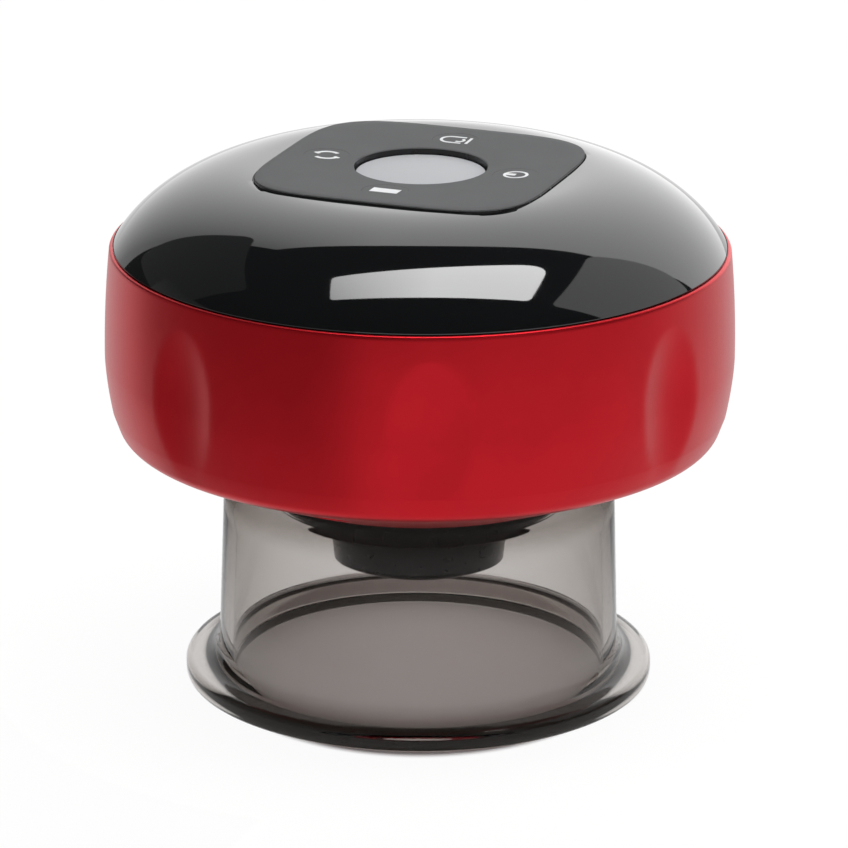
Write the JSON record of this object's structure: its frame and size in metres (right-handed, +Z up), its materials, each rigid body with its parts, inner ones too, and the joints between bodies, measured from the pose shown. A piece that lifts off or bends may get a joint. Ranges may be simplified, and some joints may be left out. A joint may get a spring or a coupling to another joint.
{
  "type": "electric cupping massager",
  "caption": "Round hand-held vacuum massager: domed black top with keypad and display on a red shell, plugged into a smoked suction cup with a flanged rim.",
  "frame": {"origin": "centre of the cup's rim plane, on the surface that the massager stands on", "axes": "+Z up through the dome; -Y is the front side of the keypad; +Y is the side with the charging socket; +X is to the right seen from the front"},
  "size_m": [0.0904, 0.0903, 0.0765],
  "materials": {
    "red_lacquer": "satin metallic red lacquer on a moulded shell",
    "gloss_black": "piano black, polished",
    "panel_grey": "fine matte grey",
    "display_grey": "pale grey display window, satin",
    "smoked_cup": "clear smoked plastic, polished",
    "black_plastic": "black, half gloss",
    "white_plastic": "plain moulded",
    "seal_rubber": "soft black",
    "silicone": "milky silicone",
    "red_lens": "clear red",
    "circuit_board": "green solder mask",
    "steel": "plain bright steel",
    "copper_wire": "enamelled copper winding",
    "filter_foam": "open foam",
    "battery_wrap": "shrink wrap",
    "lead_jacket": "soft jacket"
  },
  "bodies": {
    "cup": {"suction_cup": "smoked_cup"},
    "head": {"collar": "black_plastic", "collar_seal_ring": "seal_rubber", "nozzle": "black_plastic", "heater_lens": "red_lens", "heater_board": "circuit_board", "air_filter": "filter_foam", "lower_shell": "red_lacquer", "dome_cover": "gloss_black", "control_panel": "panel_grey", "display_window": "display_grey", "lcd_module": "display_grey", "control_board": "circuit_board", "chassis": "white_plastic", "pump_motor": "steel", "pump_crankcase": "black_plastic", "pump_diaphragm": "seal_rubber", "pump_cap": "black_plastic", "valve_frame": "steel", "valve_coil": "copper_wire", "valve_seat": "white_plastic", "valve_spring": "steel", "tee_connector": "white_plastic", "hose_riser": "silicone", "hose_valve": "silicone", "hose_pump": "silicone", "battery_pack": "battery_wrap", "charge_board": "circuit_board", "usb_socket": "steel", "battery_lead": "lead_jacket", "motor_lead": "lead_jacket", "heater_lead": "lead_jacket", "switch_body_level": "steel", "switch_body_mode": "steel", "switch_body_timer": "steel", "switch_body_heat": "steel", "case_screw_1": "steel", "case_screw_2": "steel", "case_screw_3": "steel", "board_screw_1": "steel", "board_screw_2": "steel", "board_screw_3": "steel", "collar_screw_1": "steel", "collar_screw_2": "steel", "collar_screw_3": "steel"},
    "level_key": {"key_level": "panel_grey", "switch_plunger_level": "black_plastic"},
    "mode_key": {"key_mode": "panel_grey", "switch_plunger_mode": "black_plastic"},
    "timer_key": {"key_timer": "panel_grey", "switch_plunger_timer": "black_plastic"},
    "heat_key": {"key_heat": "panel_grey", "switch_plunger_heat": "black_plastic"},
    "pump_rotor": {"motor_shaft": "steel", "eccentric_crank": "white_plastic"},
    "valve_armature": {"valve_plunger": "steel"}
  },
  "joints": [
    {"name": "head_lift", "type": "slide", "parent": "cup", "child": "head", "axis": [0, 0, 1], "range_m": [0, 0.03]},
    {"name": "level_press", "type": "slide", "parent": "head", "child": "level_key", "axis": [0, 0, -1], "range_m": [0, 0.0004], "stiffness_N_per_m": 1500, "springref_m": -0.0005},
    {"name": "mode_press", "type": "slide", "parent": "head", "child": "mode_key", "axis": [0, 0, -1], "range_m": [0, 0.0004], "stiffness_N_per_m": 1500, "springref_m": -0.0005},
    {"name": "timer_press", "type": "slide", "parent": "head", "child": "timer_key", "axis": [0, 0, -1], "range_m": [0, 0.0004], "stiffness_N_per_m": 1500, "springref_m": -0.0005},
    {"name": "heat_press", "type": "slide", "parent": "head", "child": "heat_key", "axis": [0, 0, -1], "range_m": [0, 0.0004], "stiffness_N_per_m": 1500, "springref_m": -0.0005},
    {"name": "pump_spin", "type": "hinge", "parent": "head", "child": "pump_rotor", "pos_m": [0, -0.018, 0.0541], "axis": [1, 0, 0], "continuous": true},
    {"name": "valve_pull", "type": "slide", "parent": "head", "child": "valve_armature", "axis": [0, 0, -1], "range_m": [0, 0.0012], "stiffness_N_per_m": 150, "springref_m": -0.003, "deforming": ["valve_spring"]}
  ]
}
